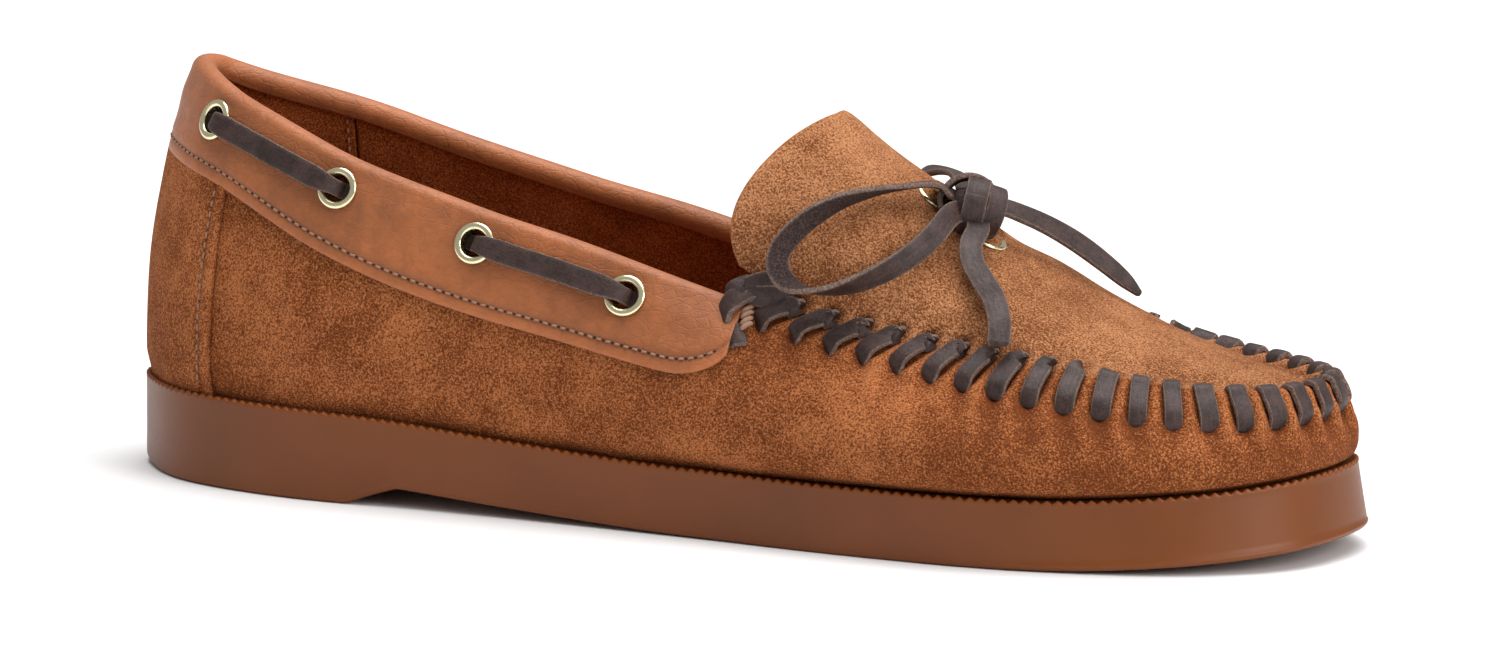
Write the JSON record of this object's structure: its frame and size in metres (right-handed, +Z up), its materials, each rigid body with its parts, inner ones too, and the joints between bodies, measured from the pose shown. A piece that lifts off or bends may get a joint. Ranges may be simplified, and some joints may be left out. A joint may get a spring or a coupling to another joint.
{
  "type": "moccasin shoe",
  "caption": "Slip-on moccasin for the right foot: suede wrap and apron whip-stitched round the toe, laced leather collar, bow at the instep, flat gum rubber unit sole.",
  "frame": {"origin": "on the ground, under the middle of the heel", "axes": "+X towards the toe, +Z up, -Y to the outer side of the right foot"},
  "size_m": [0.2544, 0.0905, 0.082],
  "materials": {
    "sole_rubber": "satin gum rubber",
    "cork_filler": "matt cork composite",
    "shank_steel": "blued spring steel",
    "insole_board": "matt cellulose board",
    "footbed_foam": "cloth-faced foam",
    "lining_suede": "dark rust-brown brushed lining leather",
    "upper_suede": "matt suede, cognac brown, fine nap",
    "stiffener_board": "matt thermoplastic board",
    "collar_leather": "smooth tan leather with a soft sheen",
    "lace_leather": "satin dark brown leather, paler at its cut edges",
    "eyelet_brass": "pale polished brass"
  },
  "bodies": {
    "shoe": {"outsole": "sole_rubber", "sole_filler": "cork_filler", "shank": "shank_steel", "insole_board": "insole_board", "footbed": "footbed_foam", "sock_liner": "lining_suede", "moccasin_wrap": "upper_suede", "heel_patch": "upper_suede", "heel_stiffener": "stiffener_board", "heel_lining": "lining_suede", "quarter_lining_lateral": "lining_suede", "quarter_lining_medial": "lining_suede", "collar_band": "collar_leather", "collar_eyelet_lateral_1": "eyelet_brass", "collar_eyelet_lateral_2": "eyelet_brass", "collar_eyelet_lateral_3": "eyelet_brass", "collar_eyelet_lateral_4": "eyelet_brass", "collar_eyelet_medial_1": "eyelet_brass", "collar_eyelet_medial_2": "eyelet_brass", "collar_eyelet_medial_3": "eyelet_brass", "collar_eyelet_medial_4": "eyelet_brass", "collar_lace": "lace_leather", "apron": "upper_suede", "apron_eyelet_rear": "eyelet_brass", "apron_eyelet_front": "eyelet_brass", "toe_lacing": "lace_leather", "throat_lashing_lateral": "lace_leather", "throat_lashing_medial": "lace_leather", "bow_knot": "lace_leather", "bow_loop_lateral": "lace_leather", "bow_loop_medial": "lace_leather", "bow_tail_lateral": "lace_leather", "bow_tail_medial": "lace_leather"},
    "tongue": {"tongue": "upper_suede"}
  },
  "joints": [
    {"name": "tongue_lift", "type": "hinge", "parent": "shoe", "child": "tongue", "pos_m": [0.112, 0, 0.048], "axis": [0, 1, 0], "range_deg": [-8, 5], "stiffness_Nm_per_rad": 0.01}
  ]
}
